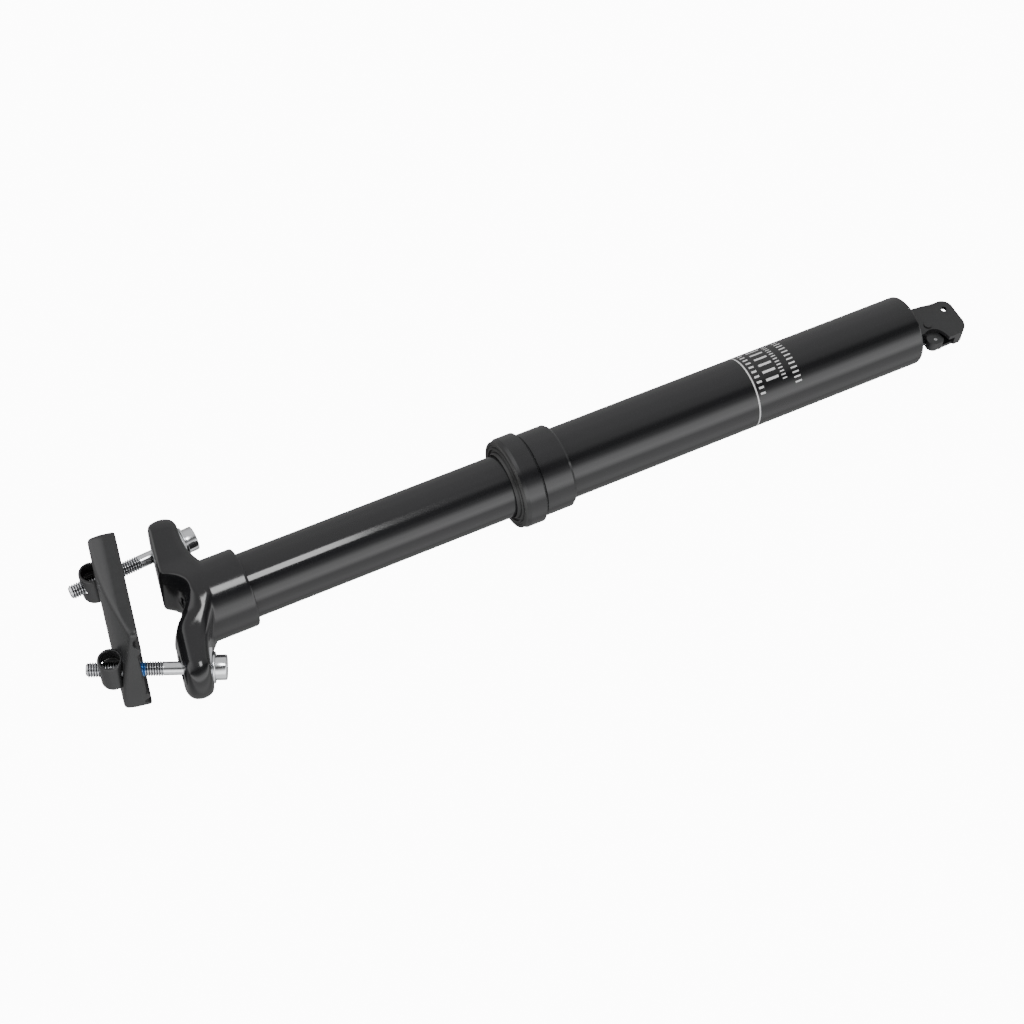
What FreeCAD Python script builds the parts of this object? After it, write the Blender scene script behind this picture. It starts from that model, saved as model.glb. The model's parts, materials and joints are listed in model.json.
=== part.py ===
import FreeCAD, Part
import math
import os

from FreeCAD import Rotation, Vector

# Height-adjustable (dropper) seatpost with a two-bolt saddle clamp and a lever at its foot.
# Millimetres. The origin is on the post's axis, 1 mm below the collar's lower face, at the
# end of the insertable length. +Z runs up the post towards the saddle, +X points to the
# rear bolt and +Y across the saddle. The post is fully extended, and the clamp stands open.
# Heights in this file are counted from the outer tube's lower end; save() lowers every
# shape by ORIGIN_Z, which puts the origin there.

os.makedirs("parts", exist_ok=True)

# ---- driving dimensions -------------------------------------------------------------
TUBE_R = 15.45                 # outer tube, 30.9 mm seat tube size
TUBE_BORE_R = 14.0
TUBE_END_ROUND = 1.2
RELIEF_DEPTH = 0.3             # groove that ends the fitted wall below the collar
RELIEF_WIDTH = 0.5
SHOULDER_Z = 171.0             # step on the tube that the collar rests on
COLLAR_FOOT_Z = SHOULDER_Z - 0.6
ORIGIN_Z = COLLAR_FOOT_Z - 1.0
COLLAR_SPLIT_Z = 184.0         # joint between the collar's base ring and its nut
COLLAR_TOP_Z = 193.6
COLLAR_BASE_R = 17.9
COLLAR_NUT_R = 19.5
TUBE_NECK_R = 16.4             # tube's upset neck inside the collar
TUBE_TOP_Z = 188.0
WIPER_POCKET_R = 18.2
WIPER_POCKET_Z = 190.6
SEAL_R = 14.55

TRAVEL = 100.0                 # how far the saddle drops
STANCHION_R = 13.4
STANCHION_BORE_R = 12.2
STANCHION_FOOT_Z = 115.0
STANCHION_TOP_Z = 328.0
RUNNING_GAP = 0.05             # radial clearance of every sliding or turning fit

KEY_COUNT = 3
KEY_WIDTH = 3.0
KEYWAY_R = 14.55
KEY_Z = 138.0
KEY_LENGTH = 10.0
KEYWAY_TOP_Z = 166.0
KEY_SEAT_R = 12.9              # floor of the key pockets in the stanchion
BUSHING_SEAT_R = 12.95         # stanchion's turned-down foot under the lower bushing
BUSHING_TOP_Z = 131.0

CAP_FOOT_Z = 1.5               # screwed plug in the tube's foot
CAP_TOP_Z = 12.0
ROD_R = 5.0
ROD_BORE_R = 2.0
ROD_SEAT_Z = 4.0
ROD_TOP_Z = 144.3              # the piston rests on the gland, which stops the post at full height
CYLINDER_R = 11.4
CYLINDER_BORE_R = 9.6
CYLINDER_FOOT_Z = 118.0
CYLINDER_TOP_Z = 322.0
PISTON_LENGTH = 12.0
RING_DEPTH = 1.2
RING_FROM = 4.5                # piston ring's height above the piston's lower face
RING_TO = 7.5
GLAND_LENGTH = 14.0
ROD_SEAL_R = 7.0
ROD_SEAL_FROM = 5.0            # rod seal's height above the cylinder's lower end
ROD_SEAL_TO = 8.0
PIN_R = 1.9
POPPET_FOOT_Z = ROD_TOP_Z - 20.0
GAS_PISTON_FOOT_Z = 222.0
GAS_PISTON_LENGTH = 8.0
VALVE_BORE_R = 1.2
VALVE_TOP_Z = 333.2            # filling valve in the well under the saddle clamp
CIRCLIP_R = 12.7
CIRCLIP_INNER_R = 10.4
CIRCLIP_THICKNESS = 1.4

SLEEVE_R = 16.3                # head's socket around the stanchion
SLEEVE_FOOT_Z = 310.0
CLAMP_TILT = 10.0              # rail plane against the post's cross-section, degrees
CLAMP_CENTRE = Vector(-3.3, 0.0, 346.0)
HEAD_TOP_W = -3.6
SEAT_R = 9.5                   # round cross groove in the head
SEAT_RIM_R = 13.9
SEAT_U = 1.9
SEAT_W = -2.0
LUG_TIP_U = 40.8
LUG_HALF_WIDTH = 12.0
LUG_END_U = LUG_TIP_U - LUG_HALF_WIDTH
SLOT_R = 3.6                   # bolt hole through the lug, stretched so that the bolt can tilt
SLOT_SHIFT = 1.2
SPOT_FACE_R = 6.6
WELL_R = 5.0

NUT_U = 20.3
NUT_W = 21.3
NUT_R = 5.0
NUT_LENGTH = 16.0
NUT_HOLLOW_R = 3.9             # blind hollow in each end of the barrel nut
NUT_HOLLOW_DEPTH = 5.6
PIVOT_U = 29.56                # where each bolt tilts in its lug
PIVOT_W = -16.2
SEAT_WASHER_R = 5.5
WASHER_HALF_WIDTH = 6.0
BOLT_R = 2.95
BOLT_SHANK_R = 2.7
BOLT_LENGTH = 48.5
BOLT_THREAD = 30.0
BOLT_PITCH = 1.0
THREAD_DEPTH = 0.5
THREAD_GAP = 0.08
BOLT_HEAD_R = 5.0
BOLT_FLANGE_R = 6.2
BOLT_FLANGE_H = 1.2
BOLT_HEAD_H = 5.6
SOCKET_R = 2.9                 # across the hexagon's corners, from the centre
SOCKET_DEPTH = 3.0

PLATE_HALF_LENGTH = 27.4       # on the middle line; the ends are slightly bowed
PLATE_END_BOW_R = 118.0
PLATE_HALF_WIDTH = 28.2
PLATE_CORNER_R = 2.6
PLATE_EDGE_BOTTOM_W = 8.9
PLATE_EDGE_TOP_W = 13.8
PLATE_BEVEL_RUN = 3.0          # sideways run and rise of the bevel along each long side
PLATE_BEVEL_RISE = 5.4
PLATE_CROWN_W = 20.0
PLATE_CROWN_R = 84.5
PLATE_CROWN_TURN = -47.5       # the crown's axis runs from corner to corner
PLATE_BELLY_W = 10.4
PLATE_BELLY_HALF = 15.0
PLATE_HOLE_R = 3.6
RAIL_R = 3.5
RAIL_SPACING = 44.0
RAIL_W = 8.0

LEVER_PIVOT = Vector(4.6, 0.0, -8.4)
LEVER_PIN_R = 1.2
PIN_FOOT_Z = -4.2              # rounded end of the push pin, just above the lever
CABLE_X = 11.6                 # line of the release cable
CHEEK_GAP = 5.0                # free width between the bracket's two cheeks
CHEEK_THICKNESS = 1.9
SCREW_Y = 7.6
SCREW_R = 1.25
SCREW_HEAD_R = 1.9
SCREW_SOCKET_R = 0.8
FLANGE_R = 11.0
FLANGE_FOOT_Z = -0.8
BRACKET_FOOT_Z = -23.8
WEB_X = -4.2                   # web behind the lever, between the cheeks
LEVER_ROOM_Z = -16.6           # lower end of the lever's room
STOP_BLOCK_X = 5.4             # block that carries the cable stop
CHEEK_HOLE_R = 1.25
CHEEK_HOLE_X = 0.0
CHEEK_HOLE_Z = -19.6
CABLE_STOP_R = 2.1
CABLE_STOP_TOP_Z = -20.4
CABLE_HOLE_R = 0.8
BARREL_R = 1.6
BARREL_HOLE_R = 0.6
GRUB_R = 0.75

X_AXIS = Vector(1, 0, 0)
Y_AXIS = Vector(0, 1, 0)
Z_AXIS = Vector(0, 0, 1)

# direction of the rear bolt in the clamp's own frame; the front bolt is its mirror image
BOLT_SPLAY = math.degrees(math.atan2(PIVOT_U - NUT_U, NUT_W - PIVOT_W))


# ---- helpers ------------------------------------------------------------------------
def save(shape, node):
    """Lower one node to the origin and write it, once its solids are known to be sound."""
    shape = moved(shape.removeSplitter(), FreeCAD.Placement(Vector(0, 0, -ORIGIN_Z), Rotation()))
    if not shape.isValid() or not shape.Solids:
        raise ValueError(node + " is not a sound solid")
    shape.exportStep("parts/" + node + ".step")
    print(node, len(shape.Solids), round(shape.Volume, 1))


def rod(radius, z0, z1, x=0.0, y=0.0):
    return Part.makeCylinder(radius, z1 - z0, Vector(x, y, z0))


def ring(outer, inner, z0, z1):
    return rod(outer, z0, z1).cut(rod(inner, z0 - 1, z1 + 1))


def cross_rod(radius, half_length, x, z):
    """Round bar along Y, centred on y = 0."""
    return Part.makeCylinder(radius, 2 * half_length, Vector(x, -half_length, z), Y_AXIS)


def box(x0, x1, y0, y1, z0, z1):
    return Part.makeBox(x1 - x0, y1 - y0, z1 - z0, Vector(x0, y0, z0))


def turned(points):
    """Solid of revolution about Z from (radius, height) points."""
    outline = [Vector(r, 0, z) for r, z in points]
    face = Part.Face(Part.makePolygon(outline + outline[:1]))
    return face.revolve(Vector(0, 0, 0), Z_AXIS, 360)


def long_round_edge(body, z):
    """The circular edges of a shape that lie at height z."""
    return [e for e in body.Edges if abs(e.BoundBox.ZMax - z) < 1e-6 and e.Length > 90]


def around(shape, count):
    """Copies of a shape spaced evenly about the post's axis."""
    copies = []
    for i in range(count):
        copy = shape.copy()
        copy.rotate(Vector(0, 0, 0), Z_AXIS, i * 360.0 / count)
        copies.append(copy)
    return copies


def prism_wire_xz(edges, half_width):
    """Solid along Y from edges that are drawn in the y = 0 plane."""
    face = Part.Face(Part.Wire(edges))
    face.translate(Vector(0, -half_width, 0))
    return face.extrude(Vector(0, 2 * half_width, 0))


def arc(a, b, c):
    return Part.Arc(Vector(a[0], 0, a[1]), Vector(b[0], 0, b[1]), Vector(c[0], 0, c[1])).toShape()


def line(a, b):
    return Part.LineSegment(Vector(a[0], 0, a[1]), Vector(b[0], 0, b[1])).toShape()


def moved(shape, placement):
    shape = shape.copy()
    shape.Placement = placement.multiply(shape.Placement)
    return shape


def mirrored(shape):
    """Copy on the other side of the x = 0 plane."""
    return shape.mirror(Vector(0, 0, 0), X_AXIS)


def place_clamp(shape):
    """Move a shape from the clamp's own frame (u, v, w) to the post's frame."""
    return moved(shape, FreeCAD.Placement(CLAMP_CENTRE, Rotation(Y_AXIS, -CLAMP_TILT)))


def along_bolt(shape):
    """Move a shape drawn up the Z axis from the bolt's pivot onto the rear bolt's axis."""
    return moved(shape, FreeCAD.Placement(Vector(PIVOT_U, 0, PIVOT_W), Rotation(Y_AXIS, -BOLT_SPLAY)))


def place_pair(shape):
    """The rear and the front copy of a clamp part, in the post's frame."""
    return place_clamp(shape), place_clamp(mirrored(shape))


# ---- outer tube and collar ----------------------------------------------------------
def lower_tube():
    body = rod(TUBE_R, 0, SHOULDER_Z + 1)
    body = body.makeFillet(TUBE_END_ROUND, long_round_edge(body, 0))
    body = body.fuse(rod(TUBE_NECK_R, SHOULDER_Z, TUBE_TOP_Z))
    body = body.cut(rod(TUBE_BORE_R, -1, TUBE_TOP_Z + 1))
    body = body.cut(ring(TUBE_R + 1, TUBE_R - RELIEF_DEPTH, COLLAR_FOOT_Z - RELIEF_WIDTH, SHOULDER_Z))
    half = KEY_WIDTH / 2 + RUNNING_GAP
    keyway = box(TUBE_BORE_R - 2, KEYWAY_R, -half, half, CAP_TOP_Z + 1, KEYWAY_TOP_Z)
    for cutter in around(keyway, KEY_COUNT):
        body = body.cut(cutter)
    return body


def collar_base():
    return turned([
        (TUBE_R, COLLAR_FOOT_Z), (COLLAR_BASE_R - 0.9, COLLAR_FOOT_Z),
        (COLLAR_BASE_R, SHOULDER_Z + 0.5), (COLLAR_BASE_R, COLLAR_SPLIT_Z - 0.3),
        (COLLAR_BASE_R - 0.3, COLLAR_SPLIT_Z), (TUBE_NECK_R, COLLAR_SPLIT_Z),
        (TUBE_NECK_R, SHOULDER_Z), (TUBE_R, SHOULDER_Z)])


def collar_nut():
    return turned([
        (TUBE_NECK_R, COLLAR_SPLIT_Z), (COLLAR_NUT_R - 1.6, COLLAR_SPLIT_Z),
        (COLLAR_NUT_R, COLLAR_SPLIT_Z + 1.2), (COLLAR_NUT_R, COLLAR_TOP_Z - 1.4),
        (COLLAR_NUT_R - 0.7, COLLAR_TOP_Z), (WIPER_POCKET_R, COLLAR_TOP_Z),
        (WIPER_POCKET_R, WIPER_POCKET_Z), (SEAL_R, WIPER_POCKET_Z), (SEAL_R, TUBE_TOP_Z),
        (TUBE_NECK_R, TUBE_TOP_Z)])


def wiper_seal():
    lip = STANCHION_R + RUNNING_GAP
    return turned([
        (lip, 192.2), (lip, 195.6), (13.8, 196.0), (14.3, 195.2), (14.6, 194.5),
        (15.4, 194.4), (15.7, 195.1), (16.3, 195.1), (16.6, 194.4), (17.3, 194.4),
        (17.6, 194.8), (18.6, 194.8), (18.9, 194.4), (18.9, COLLAR_TOP_Z),
        (WIPER_POCKET_R, COLLAR_TOP_Z), (WIPER_POCKET_R, WIPER_POCKET_Z),
        (14.2, WIPER_POCKET_Z), (14.2, 192.2)])


def upper_bushing():
    return ring(TUBE_BORE_R, STANCHION_R + RUNNING_GAP, 168.0, 187.6)


def inner_seal():
    return ring(SEAL_R, STANCHION_R + RUNNING_GAP, TUBE_TOP_Z + 0.1, WIPER_POCKET_Z - 0.2)


# ---- cartridge, its foot and the release pin ----------------------------------------
def bottom_cap():
    cap = rod(TUBE_BORE_R, CAP_FOOT_Z, CAP_TOP_Z)
    cap = cap.cut(rod(ROD_R, ROD_SEAT_Z, CAP_TOP_Z + 1)).cut(rod(ROD_BORE_R, 0, CAP_TOP_Z + 1))
    for side in (-1, 1):
        cap = cap.cut(rod(SCREW_R, 0, 7.0, y=side * SCREW_Y))
    return cap


def cap_seal():
    return ring(TUBE_BORE_R, TUBE_BORE_R - 1.4, CAP_TOP_Z, CAP_TOP_Z + 1.6)


def rod_lock_nut():
    return ring(11.5, ROD_R, CAP_TOP_Z, CAP_TOP_Z + 2.4)


def cartridge_rod():
    return ring(ROD_R, ROD_BORE_R, ROD_SEAT_Z, ROD_TOP_Z)


def piston():
    z0 = ROD_TOP_Z - PISTON_LENGTH
    groove = ring(CYLINDER_BORE_R, CYLINDER_BORE_R - RING_DEPTH, z0 + RING_FROM, z0 + RING_TO)
    return ring(CYLINDER_BORE_R - RUNNING_GAP, ROD_R, z0, ROD_TOP_Z).cut(groove)


def piston_ring():
    z0 = ROD_TOP_Z - PISTON_LENGTH
    outer = CYLINDER_BORE_R - RUNNING_GAP
    return ring(outer, CYLINDER_BORE_R - RING_DEPTH, z0 + RING_FROM, z0 + RING_TO)


def push_pin():
    pin = rod(PIN_R, PIN_FOOT_Z + 2.0, POPPET_FOOT_Z)
    pin = pin.fuse(rod(1.0, PIN_FOOT_Z + 1.0, PIN_FOOT_Z + 2.5))
    return pin.fuse(Part.makeSphere(1.0, Vector(0, 0, PIN_FOOT_Z + 1.0)))


def valve_poppet():
    """Valve in the rod's end, lifted by the push pin to let the oil pass the piston."""
    stem = rod(1.4, POPPET_FOOT_Z, ROD_TOP_Z - 7)
    return stem.fuse(rod(PIN_R, ROD_TOP_Z - 7, ROD_TOP_Z - 3))


def cartridge_cylinder():
    return ring(CYLINDER_R, CYLINDER_BORE_R, CYLINDER_FOOT_Z, CYLINDER_TOP_Z)


def cartridge_gland():
    z0 = CYLINDER_FOOT_Z
    gland = ring(CYLINDER_BORE_R, ROD_R + RUNNING_GAP, z0, z0 + GLAND_LENGTH)
    return gland.cut(ring(ROD_SEAL_R, ROD_R, z0 + ROD_SEAL_FROM, z0 + ROD_SEAL_TO))


def rod_seal():
    z0 = CYLINDER_FOOT_Z
    return ring(ROD_SEAL_R, ROD_R + RUNNING_GAP, z0 + ROD_SEAL_FROM, z0 + ROD_SEAL_TO)


def gas_piston():
    """Divides the oil from the gas spring; it rises as the rod takes up room in the oil."""
    z0 = GAS_PISTON_FOOT_Z
    return rod(CYLINDER_BORE_R - RUNNING_GAP, z0, z0 + GAS_PISTON_LENGTH)


def cartridge_top_cap():
    cap = rod(CYLINDER_BORE_R, CYLINDER_TOP_Z - 12, CYLINDER_TOP_Z)
    cap = cap.fuse(rod(CYLINDER_R, CYLINDER_TOP_Z, STANCHION_TOP_Z))
    cap = cap.fuse(rod(4.6, CYLINDER_TOP_Z, VALVE_TOP_Z))
    return cap.cut(rod(VALVE_BORE_R, CYLINDER_TOP_Z - 13, VALVE_TOP_Z + 0.1))


def valve_cap():
    cap = rod(3.6, VALVE_TOP_Z, VALVE_TOP_Z + 1.4)
    return cap.fuse(rod(VALVE_BORE_R, VALVE_TOP_Z - 7.2, VALVE_TOP_Z + 0.1))


def circlip():
    z1 = CYLINDER_FOOT_Z
    clip = ring(CIRCLIP_R, CIRCLIP_INNER_R, z1 - CIRCLIP_THICKNESS, z1)
    return clip.cut(box(5, 14, -3.0, 3.0, z1 - 2, z1 + 1))


# ---- stanchion ----------------------------------------------------------------------
def stanchion_tube():
    tube = ring(STANCHION_R, STANCHION_BORE_R, STANCHION_FOOT_Z, STANCHION_TOP_Z)
    tube = tube.cut(ring(STANCHION_R + 1, BUSHING_SEAT_R, STANCHION_FOOT_Z - 1, BUSHING_TOP_Z))
    tube = tube.cut(ring(CIRCLIP_R, 11, CYLINDER_FOOT_Z - CIRCLIP_THICKNESS, CYLINDER_FOOT_Z))
    for pocket in around(key_blank(), KEY_COUNT):
        tube = tube.cut(pocket)
    return tube


def lower_bushing():
    return ring(TUBE_BORE_R - RUNNING_GAP, BUSHING_SEAT_R, STANCHION_FOOT_Z, BUSHING_TOP_Z)


def key_blank():
    half = KEY_WIDTH / 2
    return box(KEY_SEAT_R, KEYWAY_R + 1, -half, half, KEY_Z, KEY_Z + KEY_LENGTH)


def anti_rotation_keys():
    key = key_blank().common(rod(KEYWAY_R - RUNNING_GAP, KEY_Z - 1, KEY_Z + KEY_LENGTH + 1))
    return Part.makeCompound(around(key, KEY_COUNT))


# ---- head ---------------------------------------------------------------------------
def lug_bar():
    """Both lugs as one bar with round ends, in the clamp's frame."""
    top = HEAD_TOP_W
    side = [(-34.0, top), (-38.8, -5.9), (-LUG_TIP_U, -9.6), (-39.6, -12.9), (-36.3, -14.9),
            (-28.0, -15.9), (-20.9, -17.3), (-17.6, -19.3), (-16.4, -22.6), (-15.6, -27.0)]
    right = [(-u, w) for u, w in reversed(side)]
    edges = []
    for i in (0, 2, 4, 6):
        edges.append(arc(side[i], side[i + 1], side[i + 2]))
    edges += [line(side[8], side[9]), line(side[9], right[0]), line(right[0], right[1])]
    for i in (1, 3, 5, 7):
        edges.append(arc(right[i], right[i + 1], right[i + 2]))
    edges.append(line(right[9], side[0]))
    bar = prism_wire_xz(edges, LUG_HALF_WIDTH)
    plan = box(-LUG_END_U, LUG_END_U, -LUG_HALF_WIDTH, LUG_HALF_WIDTH, -60, 20)
    for u in (-LUG_END_U, LUG_END_U):
        plan = plan.fuse(rod(LUG_HALF_WIDTH, -60, 20, x=u))
    return bar.common(plan.removeSplitter())


def bolt_passage():
    """Tilting slot for the rear bolt through its lug, with the seat for its washer."""
    slot = box(-SLOT_SHIFT, SLOT_SHIFT, -SLOT_R, SLOT_R, -8, 30)
    for side in (-1, 1):
        slot = slot.fuse(rod(SLOT_R, -8, 30, x=side * SLOT_SHIFT))
    seat = cross_rod(SEAT_WASHER_R + RUNNING_GAP, WASHER_HALF_WIDTH + 0.1, PIVOT_U, PIVOT_W)
    spot_face = rod(SPOT_FACE_R, -12, 0.2)
    return along_bolt(slot.removeSplitter()).fuse(seat).fuse(along_bolt(spot_face))


def head():
    body = rod(SLEEVE_R, SLEEVE_FOOT_Z, 352.0)
    body = body.makeFillet(1.0, long_round_edge(body, SLEEVE_FOOT_Z))
    above = place_clamp(box(-60, 60, -60, 60, HEAD_TOP_W, 60))
    body = body.cut(above).fuse(place_clamp(lug_bar()))
    seat = cross_rod(SEAT_R, 20, SEAT_U, SEAT_W)
    for side in (-1, 1):
        start = Vector(SEAT_U, side * 9.0, SEAT_W)
        bevel = Part.makeCone(SEAT_R, SEAT_RIM_R, 7.0, start, Vector(0, side, 0))
        seat = seat.fuse(bevel)
    body = body.cut(place_clamp(seat))
    for passage in place_pair(bolt_passage()):
        body = body.cut(passage)
    body = body.cut(rod(STANCHION_R, SLEEVE_FOOT_Z - 1, STANCHION_TOP_Z))
    return body.cut(rod(WELL_R, STANCHION_TOP_Z - 1, 350))


# ---- clamp --------------------------------------------------------------------------
def plate_outline():
    """Plan of the plate: straight long sides, bowed ends, rounded corners."""
    plan = box(-30, 30, -PLATE_HALF_WIDTH, PLATE_HALF_WIDTH, -10, 40)
    for side in (-1, 1):
        bow = rod(PLATE_END_BOW_R, -10, 40, x=side * (PLATE_HALF_LENGTH - PLATE_END_BOW_R))
        plan = plan.common(bow)
    corners = [e for e in plan.Edges if e.BoundBox.ZLength > 49 and abs(e.BoundBox.YMax) > 20]
    return plan.makeFillet(PLATE_CORNER_R, corners)


def plate_section():
    """Cross-section of the plate, with bevelled shoulders and a raised belly."""
    y1 = PLATE_HALF_WIDTH
    w0 = PLATE_EDGE_BOTTOM_W
    w1 = PLATE_EDGE_TOP_W
    shoulder = (y1 - 2 * PLATE_BEVEL_RUN, w1 + 2 * PLATE_BEVEL_RISE)
    step = PLATE_BELLY_HALF + PLATE_BELLY_W - w0
    right = [(PLATE_BELLY_HALF, PLATE_BELLY_W), (step, w0), (y1, w0), (y1, w1), shoulder]
    left = [(-y, w) for y, w in reversed(right)]
    outline = [Vector(0, y, w) for y, w in right + left]
    face = Part.Face(Part.makePolygon(outline + outline[:1]))
    face.translate(Vector(-30, 0, 0))
    return face.extrude(Vector(60, 0, 0))


def clamp_plate():
    plate = plate_section().common(plate_outline())
    crown = Part.makeCylinder(PLATE_CROWN_R, 200, Vector(-100, 0, PLATE_CROWN_W - PLATE_CROWN_R), X_AXIS)
    crown.rotate(Vector(0, 0, 0), Z_AXIS, PLATE_CROWN_TURN)
    plate = plate.common(crown)
    for side in (-1, 1):
        start = Vector(-30, side * RAIL_SPACING / 2, RAIL_W)
        plate = plate.cut(Part.makeCylinder(RAIL_R, 60, start, X_AXIS))
    notch = cross_rod(NUT_R + RUNNING_GAP, NUT_LENGTH / 2 + 0.3, NUT_U, NUT_W)
    hole = along_bolt(rod(PLATE_HOLE_R, 15, 45))
    for cutter in (notch, hole):
        plate = plate.cut(cutter).cut(mirrored(cutter))
    return place_clamp(plate)


def barrel_nut():
    nut = cross_rod(NUT_R, NUT_LENGTH / 2, NUT_U, NUT_W)
    for side in (-1, 1):
        start = Vector(NUT_U, side * NUT_LENGTH / 2, NUT_W)
        nut = nut.cut(Part.makeCylinder(NUT_HOLLOW_R, NUT_HOLLOW_DEPTH, start, Vector(0, -side, 0)))
    return nut.cut(along_bolt(rod(BOLT_R + THREAD_GAP, 20, 60)))


def seat_washer():
    """Half-round washer that lets the bolt tilt in its lug."""
    drum = cross_rod(SEAT_WASHER_R, WASHER_HALF_WIDTH, 0, 0)
    drum = drum.cut(box(-10, 10, -10, 10, -10, 0))
    return along_bolt(drum.cut(rod(BOLT_R + RUNNING_GAP, -1, 10)))


def bolt():
    body = rod(BOLT_HEAD_R, -BOLT_HEAD_H, -0.05).fuse(rod(BOLT_FLANGE_R, -BOLT_FLANGE_H, -0.05))
    corners = []
    for a in range(0, 361, 60):
        x = SOCKET_R * math.cos(math.radians(a))
        y = SOCKET_R * math.sin(math.radians(a))
        corners.append(Vector(x, y, -BOLT_HEAD_H))
    body = body.cut(Part.Face(Part.makePolygon(corners)).extrude(Vector(0, 0, SOCKET_DEPTH)))
    start = BOLT_LENGTH - BOLT_THREAD
    body = body.fuse(rod(BOLT_SHANK_R, -0.1, start + 0.1))
    root = BOLT_R - THREAD_DEPTH
    outline = [(0, start), (BOLT_SHANK_R, start)]
    for i in range(int(BOLT_THREAD / BOLT_PITCH)):
        z = start + i * BOLT_PITCH
        outline += [(root, z + 0.1), (BOLT_R, z + 0.45), (BOLT_R, z + 0.65), (root, z + BOLT_PITCH)]
    outline += [(0, BOLT_LENGTH)]
    return along_bolt(body.fuse(turned(outline)))


# ---- release lever at the foot ------------------------------------------------------
def actuator_bracket():
    """Flange with two cheeks, a web behind the lever and a cable stop between the cheeks' ends."""
    inside = CHEEK_GAP / 2
    outside = inside + CHEEK_THICKNESS
    top = FLANGE_FOOT_Z
    foot = BRACKET_FOOT_Z
    below = foot - 1
    near = prism_wire_xz([
        line((-6.4, top), (-5.4, -11.5)), arc((-5.4, -11.5), (-4.8, -15.0), (-4.7, -18.7)),
        arc((-4.7, -18.7), (-3.7, -22.0), (-0.6, foot)), line((-0.6, foot), (7.4, foot)),
        arc((7.4, foot), (12.4, -22.4), (14.4, -19.4)), line((14.4, -19.4), (14.4, -13.4)),
        arc((14.4, -13.4), (12.6, -13.0), (9.9, -11.9)), arc((9.9, -11.9), (7.4, -8.6), (8.2, -4.6)),
        line((8.2, -4.6), (8.2, top)), line((8.2, top), (-6.4, top))], outside)
    near = near.cut(box(WEB_X, 20, -inside, inside, LEVER_ROOM_Z, 0))
    near = near.cut(box(-20, STOP_BLOCK_X, -inside, inside, below, LEVER_ROOM_Z))
    near = near.cut(box(-20, 20, -outside - 1, -inside, below, 0))
    far = prism_wire_xz([
        line((-6.4, top), (-5.6, -15.0)), line((-5.6, -15.0), (-1.0, foot)),
        line((-1.0, foot), (7.4, foot)), arc((7.4, foot), (11.2, -22.8), (12.6, -20.6)),
        line((12.6, -20.6), (12.8, -11.5)), arc((12.8, -11.5), (12.2, -9.9), (10.8, -9.4)),
        line((10.8, -9.4), (8.6, -6.4)), line((8.6, -6.4), (8.2, top)),
        line((8.2, top), (-6.4, top))], outside)
    far = far.cut(box(-20, 20, -inside, outside + 1, below, 0))
    cheeks = near.fuse(far)
    cheeks = cheeks.cut(cross_rod(CHEEK_HOLE_R, 20, CHEEK_HOLE_X, CHEEK_HOLE_Z))
    cheeks = cheeks.cut(cross_rod(LEVER_PIN_R, 20, LEVER_PIVOT.x, LEVER_PIVOT.z))
    cheeks = cheeks.cut(rod(CABLE_STOP_R, below, CABLE_STOP_TOP_Z, x=CABLE_X))
    cheeks = cheeks.cut(rod(CABLE_HOLE_R, below, -10, x=CABLE_X))
    flange = rod(FLANGE_R, top, CAP_FOOT_Z).cut(rod(ROD_BORE_R, -2, 2))
    for side in (-1, 1):
        flange = flange.cut(rod(SCREW_R, -2, 2, y=side * SCREW_Y))
    return cheeks.fuse(flange)


def bracket_screws():
    screws = []
    for side in (-1, 1):
        y = side * SCREW_Y
        head = rod(SCREW_HEAD_R, FLANGE_FOOT_Z - 1.5, FLANGE_FOOT_Z, y=y)
        head = head.cut(rod(SCREW_SOCKET_R, FLANGE_FOOT_Z - 1.6, FLANGE_FOOT_Z - 0.7, y=y))
        screws.append(head.fuse(rod(SCREW_R, FLANGE_FOOT_Z - 0.1, 6.5, y=y)))
    return Part.makeCompound(screws)


def lever_pin():
    half = CHEEK_GAP / 2 + CHEEK_THICKNESS
    pin = cross_rod(LEVER_PIN_R, half, LEVER_PIVOT.x, LEVER_PIVOT.z)
    for side in (-1, 1):
        start = Vector(LEVER_PIVOT.x, side * half, LEVER_PIVOT.z)
        pin = pin.fuse(Part.makeCylinder(1.9, 0.5, start, Vector(0, side, 0)))
    return pin


def actuator_lever():
    half = CHEEK_GAP / 2 - 0.1
    top = PIN_FOOT_Z - 0.15
    x = CABLE_X
    z = LEVER_PIVOT.z
    arm = prism_wire_xz([
        line((-1.9, top), (3.2, top)), arc((3.2, top), (6.4, top - 0.4), (8.6, z + 2.6)),
        arc((8.6, z + 2.6), (x + 1.6, z + 2.9), (x + 2.4, z - 0.4)),
        arc((x + 2.4, z - 0.4), (x + 1.9, z - 3.0), (x - 0.4, z - 3.2)),
        arc((x - 0.4, z - 3.2), (7.6, z - 2.6), (3.4, z - 2.6)),
        arc((3.4, z - 2.6), (0.6, -8.0), (-1.9, top - 1.6)),
        line((-1.9, top - 1.6), (-1.9, top))], half)
    arm = arm.cut(cross_rod(LEVER_PIN_R + RUNNING_GAP, 10, LEVER_PIVOT.x, z))
    arm = arm.cut(cross_rod(BARREL_R, 10, x, z))
    return arm.cut(rod(0.7, -20, z, x=x))


def cable_barrel():
    """Clamp barrel that grips the end of the release cable."""
    barrel = cross_rod(BARREL_R, CHEEK_GAP / 2 - 0.1, CABLE_X, LEVER_PIVOT.z)
    barrel = barrel.cut(rod(BARREL_HOLE_R, -20, LEVER_PIVOT.z + 0.2, x=CABLE_X))
    return barrel.cut(Part.makeCylinder(GRUB_R, 2.0, Vector(CABLE_X, 0.4, LEVER_PIVOT.z), Y_AXIS))


def barrel_grub_screw():
    screw = Part.makeCylinder(GRUB_R, 1.6, Vector(CABLE_X, 0.6, LEVER_PIVOT.z), Y_AXIS)
    return screw.cut(Part.makeCylinder(0.35, 0.8, Vector(CABLE_X, 1.6, LEVER_PIVOT.z), Y_AXIS))


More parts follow.
